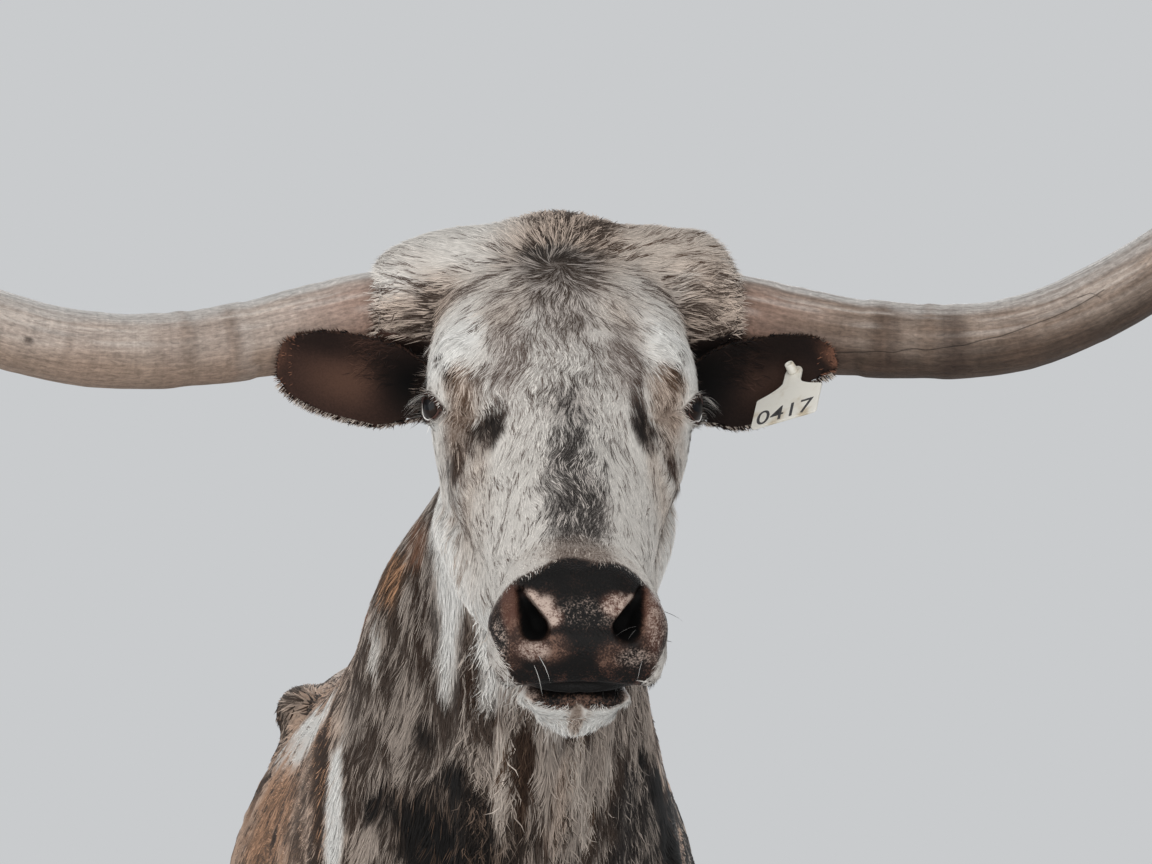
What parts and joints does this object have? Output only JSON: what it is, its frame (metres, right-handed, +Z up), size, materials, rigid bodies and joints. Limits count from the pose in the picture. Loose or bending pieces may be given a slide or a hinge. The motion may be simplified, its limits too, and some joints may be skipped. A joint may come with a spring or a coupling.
{
  "type": "longhorn steer figure",
  "caption": "Life-size still figure of a standing longhorn steer with long upswept horns, a speckled roan coat and a plain ear tag, for display or scene dressing.",
  "frame": {"origin": "on the floor under the middle of the bounding box", "axes": "+Z up, -Y the way the animal faces, +X towards its left side"},
  "size_m": [1.7918, 2.5326, 2.0104],
  "materials": {
    "coat": "short speckled roan hair, matt",
    "face_coat": "short pale and brown hair, matt",
    "nose_skin": "bare mottled skin, slightly moist",
    "ear_hide": "thin hide with short dark hair",
    "horn": "fibrous horn sheath, satin",
    "eye": "wet gloss",
    "claw": "worn hoof horn, satin",
    "tail_hair": "long hair, matt",
    "tag_plastic": "weathered flexible plastic"
  },
  "bodies": {
    "root": {"head": "face_coat", "muzzle": "nose_skin", "lower_jaw": "face_coat", "ear_left": "ear_hide", "ear_right": "ear_hide", "eye_left": "eye", "eye_right": "eye", "horn_left": "horn", "horn_right": "horn", "ear_tag_panel": "tag_plastic", "ear_tag_stud": "tag_plastic", "ear_tag_button": "tag_plastic", "neck": "coat", "forequarters": "coat", "barrel": "coat", "hindquarters": "coat", "tail_dock": "coat", "tail_switch": "tail_hair", "claw_fore_left_inner": "claw", "claw_fore_left_outer": "claw", "claw_fore_right_inner": "claw", "claw_fore_right_outer": "claw", "claw_hind_left_inner": "claw", "claw_hind_left_outer": "claw", "claw_hind_right_inner": "claw", "claw_hind_right_outer": "claw", "dewclaw_fore_left_inner": "claw", "dewclaw_fore_left_outer": "claw", "dewclaw_fore_right_inner": "claw", "dewclaw_fore_right_outer": "claw", "dewclaw_hind_left_inner": "claw", "dewclaw_hind_left_outer": "claw", "dewclaw_hind_right_inner": "claw", "dewclaw_hind_right_outer": "claw", "lower_leg_fore_left": "coat", "lower_leg_fore_right": "coat", "lower_leg_hind_left": "coat", "lower_leg_hind_right": "coat", "upper_leg_fore_left": "coat", "upper_leg_fore_right": "coat", "upper_leg_hind_left": "coat", "upper_leg_hind_right": "coat"}
  },
  "joints": []
}
